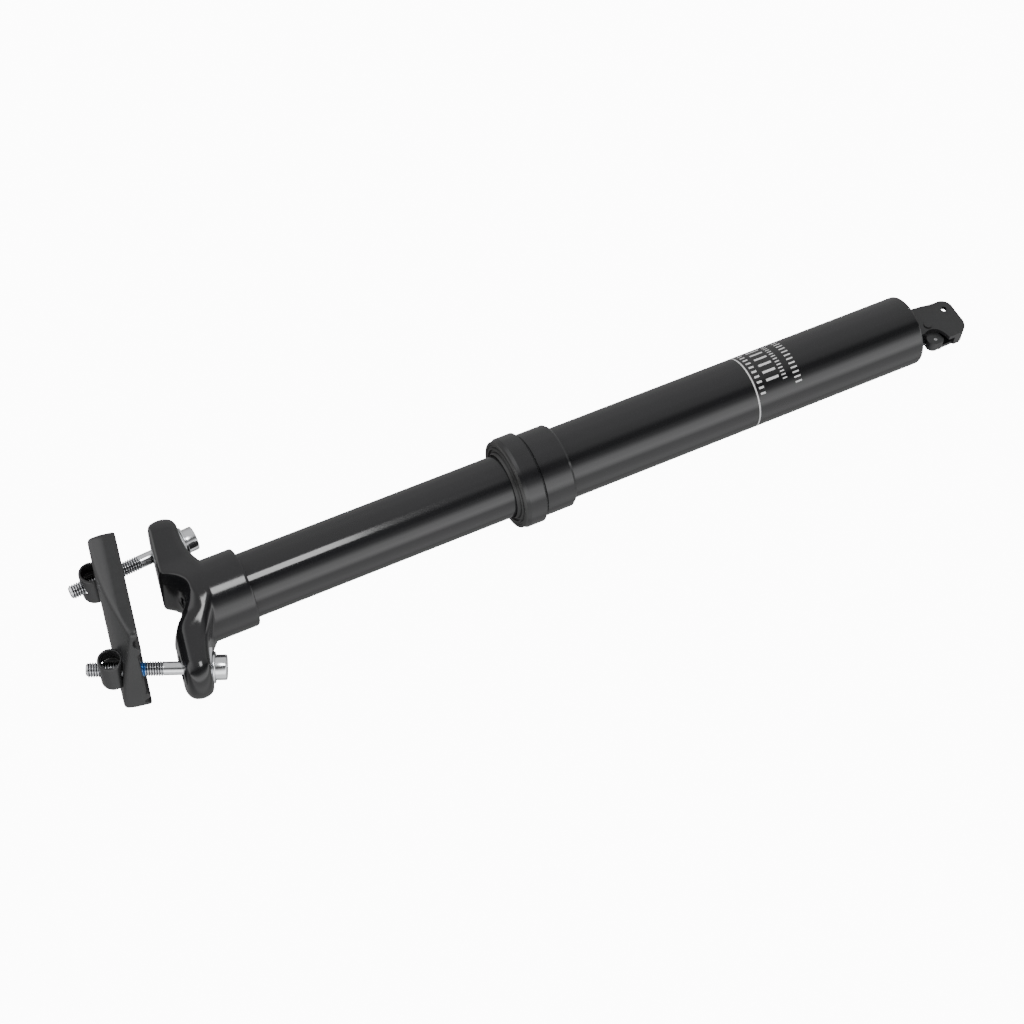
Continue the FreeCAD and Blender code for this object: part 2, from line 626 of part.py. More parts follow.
# ---- write every node ---------------------------------------------------------------
nodes = {
    "lower_tube": lower_tube, "collar_base": collar_base, "collar_nut": collar_nut,
    "wiper_seal": wiper_seal, "inner_seal": inner_seal, "upper_bushing": upper_bushing,
    "bottom_cap": bottom_cap, "cap_seal": cap_seal, "rod_lock_nut": rod_lock_nut,
    "cartridge_rod": cartridge_rod, "piston": piston, "piston_ring": piston_ring,
    "push_pin": push_pin, "valve_poppet": valve_poppet,
    "cartridge_cylinder": cartridge_cylinder, "cartridge_gland": cartridge_gland,
    "rod_seal": rod_seal, "gas_piston": gas_piston,
    "cartridge_top_cap": cartridge_top_cap, "valve_cap": valve_cap, "circlip": circlip,
    "stanchion_tube": stanchion_tube, "lower_bushing": lower_bushing,
    "anti_rotation_keys": anti_rotation_keys, "head": head, "clamp_plate": clamp_plate,
    "actuator_bracket": actuator_bracket, "bracket_screws": bracket_screws, "lever_pin": lever_pin,
    "actuator_lever": actuator_lever, "cable_barrel": cable_barrel,
    "barrel_grub_screw": barrel_grub_screw,
}
for node, make in nodes.items():
    save(make(), node)

pairs = {"barrel_nut": barrel_nut, "seat_washer": seat_washer, "clamp_bolt": bolt}
for name, make in pairs.items():
    rear, front = place_pair(make())
    save(rear, name + "_rear")
    save(front, name + "_front")
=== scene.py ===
import json
import math

import bpy
import numpy as np
from mathutils import Matrix, Vector


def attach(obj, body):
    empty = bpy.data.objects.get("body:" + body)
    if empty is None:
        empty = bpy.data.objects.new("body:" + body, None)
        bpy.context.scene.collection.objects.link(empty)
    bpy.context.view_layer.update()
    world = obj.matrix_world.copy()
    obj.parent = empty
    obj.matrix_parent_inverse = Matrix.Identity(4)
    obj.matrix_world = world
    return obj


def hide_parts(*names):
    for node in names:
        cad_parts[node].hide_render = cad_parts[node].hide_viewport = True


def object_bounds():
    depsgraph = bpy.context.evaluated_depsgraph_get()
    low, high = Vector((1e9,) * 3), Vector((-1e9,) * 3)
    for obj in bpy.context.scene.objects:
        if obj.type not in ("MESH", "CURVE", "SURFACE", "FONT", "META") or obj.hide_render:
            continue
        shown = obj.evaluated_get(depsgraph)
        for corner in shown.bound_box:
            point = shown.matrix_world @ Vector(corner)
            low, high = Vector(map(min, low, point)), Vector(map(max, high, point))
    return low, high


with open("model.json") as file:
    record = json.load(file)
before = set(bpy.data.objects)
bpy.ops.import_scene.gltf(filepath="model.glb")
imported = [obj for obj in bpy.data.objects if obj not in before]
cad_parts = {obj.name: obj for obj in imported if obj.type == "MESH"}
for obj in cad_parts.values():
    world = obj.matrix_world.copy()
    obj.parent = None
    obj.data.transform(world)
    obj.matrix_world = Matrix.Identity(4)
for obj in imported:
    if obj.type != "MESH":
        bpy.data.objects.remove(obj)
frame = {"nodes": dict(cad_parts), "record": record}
cad_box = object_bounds()
MM = 0.001

# ---- camera --------------------------------------------------------------------------
CAMERA_PLACE = Vector((0.4250, 0.7135, 0.2649))
CAMERA_RIGHT = Vector((0.4456, 0.0388, -0.8944))
CAMERA_UP = Vector((-0.7552, 0.5527, -0.3523))
CAMERA_BACK = Vector((0.4807, 0.8325, 0.2756))
CAMERA_LENS = 73.83
SENSOR = 36.0
CLIP_START = 0.01


def make_camera():
    """Camera at the photograph's viewing angle."""
    camera = bpy.data.objects.new("camera", bpy.data.cameras.new("camera"))
    bpy.context.scene.collection.objects.link(camera)
    turn = Matrix((CAMERA_RIGHT, CAMERA_UP, CAMERA_BACK)).transposed()
    camera.matrix_world = Matrix.Translation(CAMERA_PLACE) @ turn.to_4x4()
    camera.data.lens = CAMERA_LENS
    camera.data.sensor_width = SENSOR
    camera.data.clip_start = CLIP_START
    bpy.context.scene.camera = camera


# ---- the clamp's frame -----------------------------------------------------------------
# u runs along the saddle rails, v across them and w away from the head, in millimetres.
# CLAMP_CENTRE is that frame's origin in the row frame.
CLAMP_CENTRE = Vector((-3.3, 0.0, 176.6))
TILT = math.radians(10.0)
ALONG = Vector((math.cos(TILT), 0.0, math.sin(TILT)))
AWAY = Vector((-math.sin(TILT), 0.0, math.cos(TILT)))
PIVOT = (29.56, -16.2)         # (u, w) of the rear bolt's washer axis
NUT = (20.3, 21.3)             # (u, w) of the rear barrel nut's axis
CLAMP_AXES = np.array([ALONG, (0.0, 1.0, 0.0), AWAY])
SPLAY = math.atan2(PIVOT[0] - NUT[0], NUT[1] - PIVOT[1])
BOLT_AXIS = AWAY * math.cos(SPLAY) - ALONG * math.sin(SPLAY)
BOLT_FOOT = CLAMP_CENTRE + ALONG * PIVOT[0] + AWAY * PIVOT[1]


# ---- shader helpers ------------------------------------------------------------------
class Nodes:
    """Short ways of adding and joining shader nodes."""

    def __init__(self, tree, empty=True):
        self.tree = tree
        if empty:
            tree.nodes.clear()

    def add(self, kind):
        return self.tree.nodes.new(kind)

    def join(self, source, target):
        self.tree.links.new(source, target)

    def math(self, operation, a, b=0.0, c=0.0):
        node = self.add("ShaderNodeMath")
        node.operation = operation
        for slot, value in enumerate((a, b, c)):
            if isinstance(value, (int, float)):
                node.inputs[slot].default_value = value
            else:
                self.join(value, node.inputs[slot])
        return node.outputs[0]

    def mix(self, factor, a, b):
        node = self.add("ShaderNodeMix")
        node.data_type = "RGBA"
        for slot, value in ((0, factor), (6, a), (7, b)):
            if isinstance(value, float):
                node.inputs[slot].default_value = value
            elif isinstance(value, tuple):
                node.inputs[slot].default_value = (*value, 1.0)
            else:
                self.join(value, node.inputs[slot])
        return node.outputs[2]

    def noise(self, vector, scale, detail=3.0):
        node = self.add("ShaderNodeTexNoise")
        node.inputs["Scale"].default_value = scale
        node.inputs["Detail"].default_value = detail
        self.join(vector, node.inputs["Vector"])
        return node.outputs["Fac"]


def stretched(n, factors):
    """Object coordinates scaled along each axis, for grain that runs one way."""
    place = n.add("ShaderNodeTexCoord").outputs["Object"]
    mapping = n.add("ShaderNodeMapping")
    mapping.inputs["Scale"].default_value = factors
    n.join(place, mapping.inputs["Vector"])
    return mapping.outputs["Vector"]


BROAD_GRAIN = 0.15             # scale of the uneven colour against the grain's
FINE_DETAIL = 6.0
BUMP_DISTANCE = 0.2 * MM


def surface(name, color, rough, metallic=0.0, grain=400.0, grain_depth=0.02, spread=0.06,
            factors=(1.0, 1.0, 1.0), tint=0.25, extra=None):
    """Principled material with uneven colour and roughness and a fine bump."""
    material = bpy.data.materials.new(name)
    material.use_nodes = True
    n = Nodes(material.node_tree)
    out = n.add("ShaderNodeOutputMaterial")
    shader = n.add("ShaderNodeBsdfPrincipled")
    n.join(shader.outputs[0], out.inputs["Surface"])
    place = stretched(n, factors)
    broad = n.noise(place, grain * BROAD_GRAIN)
    fine = n.noise(place, grain, FINE_DETAIL)
    darker = tuple(c * (1 - tint) for c in color)
    lighter = tuple(min(1.0, c * (1 + tint)) for c in color)
    base = n.mix(broad, darker, lighter)
    roughness = n.math("MULTIPLY_ADD", broad, spread * 2, rough - spread)
    if extra:
        base, roughness = extra(n, base, roughness)
    n.join(base, shader.inputs["Base Color"])
    n.join(roughness, shader.inputs["Roughness"])
    shader.inputs["Metallic"].default_value = metallic
    bump = n.add("ShaderNodeBump")
    bump.inputs["Strength"].default_value = grain_depth
    bump.inputs["Distance"].default_value = BUMP_DISTANCE
    n.join(fine, bump.inputs["Height"])
    n.join(bump.outputs["Normal"], shader.inputs["Normal"])
    return material


LINE_Z = -87.2 * MM            # insertion line round the outer tube
LINE_HALF = 0.32 * MM
TUBE_R = 15.45                 # outer tube
FACING = math.radians(60.0)    # azimuth that the rows of ticks are measured from
PRINT_WHITE = (0.62, 0.62, 0.62)
PRINT_ROUGHER = 0.3
# rows of plain ticks: (z centre, half height, start and end along the girth, pitch, filled part)
TICK_ROWS = (
    (-90.0, 1.15, -4.0, 30.0, 2.5, 0.36),
    (-96.2, 3.0, 0.5, 22.0, 3.6, 0.3),
    (-101.6, 1.0, -1.0, 20.0, 1.6, 0.34),
    (-107.2, 1.5, -4.5, 26.0, 2.1, 0.32),
)


def printed_marks(n, base, roughness):
    """White ring round the outer tube and rows of plain ticks below it."""
    place = n.add("ShaderNodeTexCoord").outputs["Object"]
    split = n.add("ShaderNodeSeparateXYZ")
    n.join(place, split.inputs[0])
    z = split.outputs["Z"]
    off = n.math("ABSOLUTE", n.math("SUBTRACT", z, LINE_Z))
    mask = n.math("LESS_THAN", off, LINE_HALF)
    azimuth = n.math("ARCTAN2", split.outputs["Y"], split.outputs["X"])
    turn = n.math("WRAP", n.math("SUBTRACT", azimuth, FACING), math.pi, -math.pi)
    girth = n.math("MULTIPLY", turn, TUBE_R)
    height = n.math("DIVIDE", z, MM)
    for centre, half, start, end, pitch, filled in TICK_ROWS:
        row = n.math("LESS_THAN", n.math("ABSOLUTE", n.math("SUBTRACT", height, centre)), half)
        within = n.math("MULTIPLY", n.math("GREATER_THAN", girth, start), n.math("LESS_THAN", girth, end))
        phase = n.math("FRACT", n.math("DIVIDE", n.math("SUBTRACT", girth, start), pitch))
        tick = n.math("LESS_THAN", phase, filled)
        mask = n.math("MAXIMUM", mask, n.math("MULTIPLY", n.math("MULTIPLY", row, within), tick))
    return n.mix(mask, base, PRINT_WHITE), n.math("MULTIPLY_ADD", mask, PRINT_ROUGHER, roughness)


# painted shade: the colour that the thread roots are darkened towards
GROOVE_SHADE = (0.12, 0.12, 0.125)
GROOVE_SHADE_FALL = 0.8               # power of the change from groove to crest
LOCK_BLUE = (0.05, 0.24, 0.55)
LOCK_HEIGHT = 26.6             # middle of the threadlock's band, up the rear bolt
LOCK_HALF = 1.5
LOCK_RAGGED = 1.6              # how far the band's edge wanders
LOCK_RAGGED_GRAIN = 1500.0
LOCK_EDGE = 2.0                # steepness of that edge
LOCK_COVER = 0.85
LOCK_ROUGHER = 0.2


def painted_groove_shade(n, base, roughness):
    """Painted shade in the thread grooves: the roots are darkened below the crests."""
    crest = n.add("ShaderNodeAttribute")
    crest.attribute_name = "crest"
    keep = n.math("POWER", crest.outputs["Fac"], GROOVE_SHADE_FALL)
    return n.mix(keep, GROOVE_SHADE, base), roughness


def threadlock(n, base, roughness):
    """Dried blue threadlock round the rear bolt, just under the plate."""
    # painted shade in the thread grooves first
    base, roughness = painted_groove_shade(n, base, roughness)
    place = n.add("ShaderNodeTexCoord").outputs["Object"]
    along = n.add("ShaderNodeVectorMath")
    along.operation = "DOT_PRODUCT"
    n.join(place, along.inputs[0])
    along.inputs[1].default_value = BOLT_AXIS
    up = n.math("SUBTRACT", n.math("DIVIDE", along.outputs["Value"], MM), BOLT_AXIS.dot(BOLT_FOOT))
    ragged = n.math("MULTIPLY_ADD", n.noise(place, LOCK_RAGGED_GRAIN), LOCK_RAGGED, -LOCK_RAGGED / 2)
    off = n.math("ABSOLUTE", n.math("SUBTRACT", n.math("ADD", up, ragged), LOCK_HEIGHT))
    cover = n.math("SUBTRACT", 1.0, n.math("DIVIDE", off, LOCK_HALF))
    cover = n.math("MINIMUM", n.math("MAXIMUM", n.math("MULTIPLY", cover, LOCK_EDGE), 0.0), LOCK_COVER)
    return n.mix(cover, base, LOCK_BLUE), n.math("MULTIPLY_ADD", cover, LOCK_ROUGHER, roughness)


ALONG_TUBE = (1.0, 1.0, 0.08)
BOLT_METAL = dict(color=(0.68, 0.69, 0.71), rough=0.2, metallic=1.0, grain=1200.0, grain_depth=0.04,
                  spread=0.06, tint=0.12)
FINISHES = {
    "tube_black": dict(color=(0.010, 0.010, 0.011), rough=0.13, grain=900.0, grain_depth=0.02, spread=0.02,
                       factors=ALONG_TUBE, extra=printed_marks),
    "stanchion_black": dict(color=(0.011, 0.011, 0.012), rough=0.11, grain=900.0, grain_depth=0.015,
                            spread=0.02, factors=ALONG_TUBE),
    "head_black": dict(color=(0.010, 0.010, 0.011), rough=0.15, grain=700.0, grain_depth=0.03, spread=0.03),
    "collar_black": dict(color=(0.011, 0.011, 0.012), rough=0.12, grain=900.0, grain_depth=0.015,
                         spread=0.02),
    "plate_black": dict(color=(0.016, 0.016, 0.017), rough=0.36, grain=2600.0, grain_depth=0.12,
                        spread=0.05),
    "bracket_black": dict(color=(0.016, 0.016, 0.017), rough=0.3, grain=2600.0, grain_depth=0.1,
                          spread=0.05),
    "rubber": dict(color=(0.007, 0.007, 0.007), rough=0.42, grain=1500.0, grain_depth=0.15, spread=0.06),
    "bolt_steel": BOLT_METAL,
    # bolt thread with painted shade in its grooves
    "bolt_thread": dict(BOLT_METAL, extra=painted_groove_shade),
    "bolt_thread_blue": dict(BOLT_METAL, extra=threadlock),
    "nut_black": dict(color=(0.020, 0.020, 0.021), rough=0.3, grain=2000.0, grain_depth=0.08, spread=0.05),
    "steel": dict(color=(0.55, 0.55, 0.56), rough=0.26, metallic=1.0, grain=1500.0, grain_depth=0.05,
                  spread=0.06, factors=(1.0, 1.0, 0.1)),
    "alloy": dict(color=(0.60, 0.60, 0.62), rough=0.3, metallic=1.0, grain=1500.0, grain_depth=0.05,
                  spread=0.07),
    "bushing": dict(color=(0.10, 0.13, 0.10), rough=0.45, grain=1500.0, grain_depth=0.1),
    "brass": dict(color=(0.62, 0.44, 0.18), rough=0.28, metallic=1.0, grain=1500.0, grain_depth=0.05),
}


def make_materials():
    """One material for each of the record's slots, and the bolts' two thread finishes."""
    return {name: surface(name, **values) for name, values in FINISHES.items()}


def dress(materials):
    """Every CAD node takes the finish that the record gives it."""
    for row in frame["record"]["subparts"]:
        node = frame["nodes"][row["node"]]
        node.data.materials.clear()
        node.data.materials.append(materials[row["material_slot"]])


# ---- shapes worked out as distance fields ---------------------------------------------
# Sizes are in millimetres. A span is (start, run) of a rise; a rounding is what
# smooth_max takes as k, and a pair of them is the smallest and what the rise adds.
SLEEVE_R = 16.3                # head's sleeve round the stanchion
SLEEVE_FOOT = 140.6            # height in the row frame
SLEEVE_ROUND = 1.0
SOCKET_TOP = 158.6             # height in the row frame
SOCKET_R = 13.4
CAP_HOLE_R = 5.0               # opening above the socket
CAP_OVERLAP = 2.0
HEAD_TOP = -3.6
HEAD_TOP_ROUND = (1.8, 4.2)
HEAD_TOP_SPAN = (3.0, 7.0)
LUG_END_U = 29.5
LUG_HALF_WIDTH = 13.0
LUG_TAPER = 1.6
LUG_TAPER_SPAN = (12.0, 18.0)
LUG_LEAN = 0.12                # slope of the rear lug's top
LUG_LEAN_SPAN = (4.0, 9.0)
LUG_BLEND = 5.0                # lugs into sleeve
LUG_ROUND = 4.5
CRADLE = (1.9, -2.0)           # (u, w) of the round cross seat's axis
CRADLE_R = 9.5
CRADLE_FLARE = 2.6
CRADLE_FLARE_SPAN = (8.0, 8.0)
CRADLE_ROUND = (1.2, 5.5)
CRADLE_ROUND_RUN = 8.0
HOLE_ROUND = 0.6
WASHER_SEAT_ROUND = 0.4
SPOT_FACE_ROUND = 0.5
BOLT_SLOT_R = 3.6
BOLT_SLOT_SHIFT = 1.2
WASHER_SEAT_R = 5.55
WASHER_SEAT_HALF = 6.1
SPOT_FACE_R = 6.6
SPOT_FACE_TOP = 0.2
PLATE_END_U = 27.4
PLATE_BOW_R = 118.0            # bow of the plate's ends
PLATE_HALF_WIDTH = 28.2
PLATE_CORNER_ROUND = 3.0
PLATE_ROUND = 1.2
PLATE_HOLE_ROUND = 0.5
PLATE_SECTION = ((15.0, 10.4), (16.5, 8.9), (28.2, 8.9), (28.2, 13.8), (22.2, 24.6))
CROWN_TURN = math.radians(47.5)
CROWN_R = 84.5
CROWN_AXIS_W = -64.5
CROWN_ROUND = 1.6
RAIL_V = 22.0
RAIL_W = 8.0
RAIL_R = 3.5
PLATE_HOLE_R = 3.6
NUT_R = 5.0
NUT_HALF = 8.0                 # half the length
NUT_ROUND = 0.9
NUT_HOLLOW_R = 3.9
NUT_HOLLOW_ROUND = 0.35
NUT_WEB_HALF = 2.3
NUT_THREAD_R = 3.03
NUT_THREAD_ROUND = 0.3
NUT_PLAY = 0.05                # room for the nut in the plate, round it and at its ends
NUT_END_PLAY = 0.3
NUT_ROOM_ROUND = 0.7


def smooth_max(a, b, k):
    """Larger of two fields, with the corner between them rounded over k."""
    h = np.maximum(k - np.abs(a - b), 0.0) / k
    return np.maximum(a, b) + h * h * k * 0.25


def smooth_min(a, b, k):
    """Smaller of two fields, rounded in the same way."""
    return -smooth_max(-a, -b, k)


def rise(value, start, run):
    """0 up to the start, then rising to 1 over the run."""
    return np.clip((value - start) / run, 0.0, 1.0)


def curve_through(points, steps):
    """Smooth run through points, as a denser list of points."""
    out = []
    for i in range(len(points) - 1):
        p0 = np.array(points[max(i - 1, 0)])
        p1 = np.array(points[i])
        p2 = np.array(points[i + 1])
        p3 = np.array(points[min(i + 2, len(points) - 1)])
        for j in range(steps):
            t = j / steps
            out.append(0.5 * (2 * p1 + (p2 - p0) * t + (2 * p0 - 5 * p1 + 4 * p2 - p3) * t * t
                              + (3 * p1 - p0 - 3 * p2 + p3) * t ** 3))
    out.append(np.array(points[-1]))
    return out


def polygon_field(x, y, points):
    """Signed distance to a closed polygon."""
    best = np.full(np.broadcast(x, y).shape, 1e9)
    inside = np.zeros(best.shape, dtype=bool)
    for (x0, y0), (x1, y1) in zip(points, points[1:] + points[:1]):
        dx = x1 - x0
        dy = y1 - y0
        along = np.clip(((x - x0) * dx + (y - y0) * dy) / (dx * dx + dy * dy + 1e-12), 0.0, 1.0)
        best = np.minimum(best, np.hypot(x - x0 - along * dx, y - y0 - along * dy))
        if abs(dy) > 1e-9:
            crosses = (y0 > y) != (y1 > y)
            inside ^= crosses & (x < x0 + (y - y0) * dx / dy)
    return np.where(inside, -best, best)


def bolt_lines(u, w):
    """Distance off the rear bolt's axis within the mirror plane, and distance up it."""
    du = u - PIVOT[0]
    dw = w - PIVOT[1]
    return du * math.cos(SPLAY) + dw * math.sin(SPLAY), dw * math.cos(SPLAY) - du * math.sin(SPLAY)


LUG_SIDE = ((-33.0, -2.2), (-37.2, -4.2), (-40.2, -7.6), (-40.7, -11.0), (-38.6, -14.0), (-35.0, -15.4),
            (-28.0, -15.9), (-21.4, -17.0), (-17.4, -18.6), (-12.0, -21.5), (-6.0, -24.0))


def head_field(u, v, w):
    """Sleeve and two lugs, hollowed for the stanchion, the cross seat and the bolts."""
    left = curve_through(LUG_SIDE, 6)
    outline = [tuple(p) for p in left] + [(-p[0], p[1]) for p in reversed(left)]
    profile = polygon_field(u, w, outline)
    half_width = LUG_HALF_WIDTH - LUG_TAPER * rise(np.abs(u), *LUG_TAPER_SPAN)
    lugs = np.hypot(np.maximum(np.abs(u) - LUG_END_U, 0.0), v) - half_width
    x = CLAMP_CENTRE.x + u * ALONG.x + w * AWAY.x
    z = CLAMP_CENTRE.z + u * ALONG.z + w * AWAY.z
    radius = np.hypot(x, v)
    plan = smooth_min(lugs, radius - SLEEVE_R, LUG_BLEND)
    bar = smooth_max(profile, plan, LUG_ROUND)
    sleeve = smooth_max(radius - SLEEVE_R, SLEEVE_FOOT - z, SLEEVE_ROUND)
    body = np.minimum(bar, sleeve)
    top = w - HEAD_TOP + LUG_LEAN * v * rise(u, *LUG_LEAN_SPAN)
    body = smooth_max(body, top, HEAD_TOP_ROUND[0] + HEAD_TOP_ROUND[1] * rise(u, *HEAD_TOP_SPAN))
    flare = CRADLE_R + CRADLE_FLARE * rise(np.abs(v), *CRADLE_FLARE_SPAN) ** 2
    cradle = np.hypot(u - CRADLE[0], w - CRADLE[1]) - flare
    rounding = CRADLE_ROUND[0] + CRADLE_ROUND[1] * rise(u, CRADLE[0], CRADLE_ROUND_RUN)
    body = smooth_max(body, -cradle, rounding)
    body = smooth_max(body, -np.maximum(radius - SOCKET_R, z - SOCKET_TOP), HOLE_ROUND)
    cap_hole = np.maximum(radius - CAP_HOLE_R, SOCKET_TOP - CAP_OVERLAP - z)
    body = smooth_max(body, -cap_hole, HOLE_ROUND)
    for side in (1, -1):
        off, up = bolt_lines(side * u, w)
        slot = np.hypot(np.maximum(np.abs(off) - BOLT_SLOT_SHIFT, 0.0), v) - BOLT_SLOT_R
        body = smooth_max(body, -slot, HOLE_ROUND)
        from_pivot = np.hypot(side * u - PIVOT[0], w - PIVOT[1])
        washer_seat = np.maximum(from_pivot - WASHER_SEAT_R, np.abs(v) - WASHER_SEAT_HALF)
        body = smooth_max(body, -washer_seat, WASHER_SEAT_ROUND)
        spot_face = np.maximum(np.hypot(off, v) - SPOT_FACE_R, up - SPOT_FACE_TOP)
        body = smooth_max(body, -spot_face, SPOT_FACE_ROUND)
    return body


def plate_field(u, v, w):
    """Wide saddle plate: bevelled section, bowed ends and a crown that runs diagonally."""
    outline = list(PLATE_SECTION) + [(-a, b) for a, b in reversed(PLATE_SECTION)]
    section = polygon_field(v, w, outline)
    ends = np.hypot(np.abs(u) + PLATE_BOW_R - PLATE_END_U, v) - PLATE_BOW_R
    plan = smooth_max(np.abs(v) - PLATE_HALF_WIDTH, ends, PLATE_CORNER_ROUND)
    body = smooth_max(plan, section, PLATE_ROUND)
    across = u * math.sin(CROWN_TURN) + v * math.cos(CROWN_TURN)
    body = smooth_max(body, np.hypot(across, w - CROWN_AXIS_W) - CROWN_R, CROWN_ROUND)
    rails = np.hypot(np.abs(v) - RAIL_V, w - RAIL_W) - RAIL_R
    body = smooth_max(body, -rails, PLATE_HOLE_ROUND)
    nut_room = np.hypot(np.abs(u) - NUT[0], w - NUT[1]) - NUT_R - NUT_PLAY
    nut_room = np.maximum(nut_room, np.abs(v) - NUT_HALF - NUT_END_PLAY)
    body = smooth_max(body, -nut_room, NUT_ROOM_ROUND)
    off, _ = bolt_lines(np.abs(u), w)
    return smooth_max(body, -(np.hypot(off, v) - PLATE_HOLE_R), PLATE_HOLE_ROUND)


def nut_field(u, v, w):
    """Barrel nut with a hollow in each end and a bolt hole across."""
    radius = np.hypot(u - NUT[0], w - NUT[1])
    body = smooth_max(radius - NUT_R, np.abs(v) - NUT_HALF, NUT_ROUND)
    hollow = np.maximum(radius - NUT_HOLLOW_R, NUT_WEB_HALF - np.abs(v))
    body = smooth_max(body, -hollow, NUT_HOLLOW_ROUND)
    off, _ = bolt_lines(u, w)
    return smooth_max(body, -(np.hypot(off, v) - NUT_THREAD_R), NUT_THREAD_ROUND)


def in_row(points):
    """Points of the clamp's frame in millimetres, as points of the row frame in metres."""
    return (points @ CLAMP_AXES + np.array(CLAMP_CENTRE)) * MM


def sample(values, place):
    """Trilinear reading of a grid at fractional grid positions."""
    top = np.array(values.shape) - 2
    cell = np.clip(np.floor(place).astype(int), 0, top)
    part = place - cell
    total = np.zeros(len(place))
    for corner in range(8):
        bits = np.array([corner & 1, corner >> 1 & 1, corner >> 2 & 1])
        weight = np.prod(np.where(bits, part, 1.0 - part), axis=1)
        at = cell + bits
        total += weight * values[at[:, 0], at[:, 1], at[:, 2]]
    return total


def surface_net(values):
    """Vertices at fractional grid positions and quads of a sampled field's zero surface."""
    cells = np.array(values.shape) - 1
    count = np.zeros(int(np.prod(cells)))
    total = np.zeros((3, len(count)))
    faces = []
    for axis in range(3):
        after = (axis + 1) % 3
        last = (axis + 2) % 3
        a = np.take(values, range(values.shape[axis] - 1), axis)
        b = np.take(values, range(1, values.shape[axis]), axis)
        at = np.argwhere((a < 0) != (b < 0))
        va = a[at[:, 0], at[:, 1], at[:, 2]]
        vb = b[at[:, 0], at[:, 1], at[:, 2]]
        place = at.astype(float)
        place[:, axis] += va / (va - vb)
        keep = (at[:, after] > 0) & (at[:, last] > 0)
        keep &= (at[:, after] < cells[after]) & (at[:, last] < cells[last])
        at = at[keep]
        place = place[keep]
        outward = va[keep] < 0
        corners = []
        for shift_after, shift_last in ((-1, -1), (0, -1), (0, 0), (-1, 0)):
            cell = at.copy()
            cell[:, after] += shift_after
            cell[:, last] += shift_last
            flat = np.ravel_multi_index(cell.T, cells)
            corners.append(flat)
            count += np.bincount(flat, minlength=len(count))
            for i in range(3):
                total[i] += np.bincount(flat, weights=place[:, i], minlength=len(count))
        quad = np.stack(corners, axis=1)
        quad[~outward] = quad[~outward][:, ::-1]
        faces.append(quad)
    used = np.flatnonzero(count)
    number = np.full(len(count), -1)
    number[used] = np.arange(len(used))
    return (total[:, used] / count[used]).T, number[np.concatenate(faces)]


SETTLE_ROUNDS = 3              # moves of each vertex towards the zero surface
SETTLE_PART = 0.8


def solid_from_field(name, field, low, high, step, side=1):
    """Mesh object of a field sampled between two corners; side -1 mirrors it in u."""
    axes = [np.arange(a, b + step, step) for a, b in zip(low, high)]
    u, v, w = np.meshgrid(*axes, indexing="ij")
    values = field(u, v, w)
    place, quads = surface_net(values)
    slopes = np.gradient(values)
    for _ in range(SETTLE_ROUNDS):
        slope = np.stack([sample(g, place) for g in slopes], axis=1)
        length = np.maximum((slope ** 2).sum(axis=1), 1e-6)
        move = np.clip(sample(values, place) / length, -1.0, 1.0)
        place -= SETTLE_PART * move[:, None] * slope
    normal = np.stack([sample(g, place) for g in slopes], axis=1)
    points = np.array(low) + place * step
    if side < 0:
        points[:, 0] *= -1
        normal[:, 0] *= -1
        quads = quads[:, ::-1]
    normal = normal @ CLAMP_AXES
    normal /= np.linalg.norm(normal, axis=1)[:, None]
    return mesh_object(name, in_row(points), quads, normal)


def mesh_object(name, points, faces, normals=None):
    """Smooth-shaded mesh object in the scene."""
    mesh = bpy.data.meshes.new(name)
    mesh.from_pydata(np.asarray(points).tolist(), [], np.asarray(faces).tolist())
    mesh.polygons.foreach_set("use_smooth", [True] * len(mesh.polygons))
    if normals is not None:
        mesh.normals_split_custom_set_from_vertices(normals.tolist())
    piece = bpy.data.objects.new(name, mesh)
    bpy.context.scene.collection.objects.link(piece)
    return piece


def finish(piece, materials, slot, body, *nodes):
    """Give a piece its material and let it stand for CAD nodes on a body."""
    piece.data.materials.append(materials[slot])
    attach(piece, body)
    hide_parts(*nodes)


# ---- clamp hardware --------------------------------------------------------------------
BOLT_R = 2.95
BOLT_SHANK_R = 2.7
BOLT_LENGTH = 48.5
THREAD_FROM = 18.5
THREAD_ROOT = 2.36
BOLT_HEAD_R = 5.0
BOLT_HEAD_H = 5.6
FLANGE_R = 6.25
FLANGE_H = 1.15
KEY_HALF = 2.5                 # half the width across the socket's flats
KEY_DEPTH = 3.0
KEY_BEVEL = 0.35
END_BEVEL = 0.9
CENTRE_R = 0.02                # rings that close the socket's floor and the tip
PITCH = 1.0
RUN_IN = 1.0                   # length over which the thread starts
RIDGE_STEEP = 2.9
ROOT_FLAT = 0.18
RING_STEP = 0.1
SHARP_DEGREES = 50.0
SEGMENTS = 60


def thread_radius(height, angle):
    """Radius of the thread at a height and an angle, running out at both ends."""
    phase = np.mod(height / PITCH - angle / (2 * math.pi), 1.0)
    ridge = np.clip((0.5 - np.abs(phase - 0.5)) * RIDGE_STEEP - ROOT_FLAT, 0.0, 1.0)
    cut = THREAD_ROOT + (BOLT_R - THREAD_ROOT) * ridge
    start = rise(height, THREAD_FROM, RUN_IN)
    bevel = BOLT_R - np.clip(height - (BOLT_LENGTH - END_BEVEL), 0.0, END_BEVEL)
    return np.minimum(BOLT_SHANK_R + (cut - BOLT_SHANK_R) * start, bevel)


